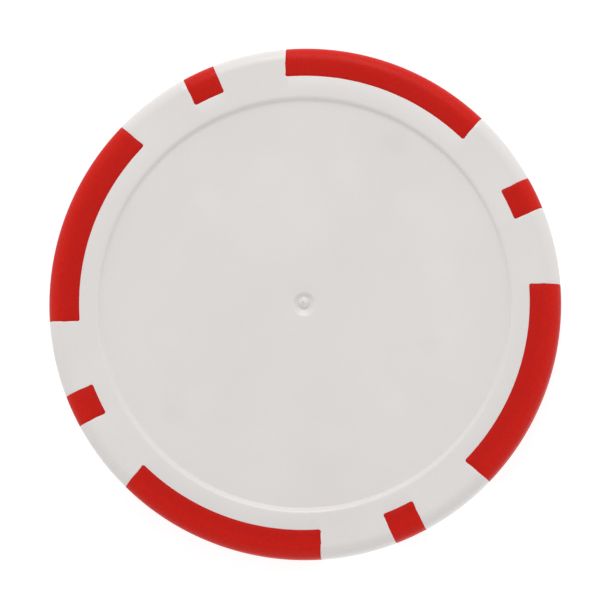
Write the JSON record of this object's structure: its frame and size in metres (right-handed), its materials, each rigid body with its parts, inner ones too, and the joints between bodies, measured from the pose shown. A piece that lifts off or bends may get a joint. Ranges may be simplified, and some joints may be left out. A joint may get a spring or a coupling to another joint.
{
  "type": "ball marker",
  "caption": "Blank poker-chip golf ball marker: weighted white disc with red edge inserts and a shallow label recess on each face.",
  "frame": {"origin": "centre of the back rim plane, on the chip's axis", "axes": "+Z out of the front face, which carries the gate mark; +X through short_insert_1 and +Y through short_insert_2"},
  "size_m": [0.04, 0.04, 0.0033],
  "materials": {
    "white_abs": "satin",
    "red_abs": "satin",
    "steel": "satin"
  },
  "bodies": {
    "root": {"chip_body": "white_abs", "steel_weight": "steel", "long_insert_1": "red_abs", "long_insert_2": "red_abs", "long_insert_3": "red_abs", "long_insert_4": "red_abs", "short_insert_1": "red_abs", "short_insert_2": "red_abs", "short_insert_3": "red_abs", "short_insert_4": "red_abs"}
  },
  "joints": []
}
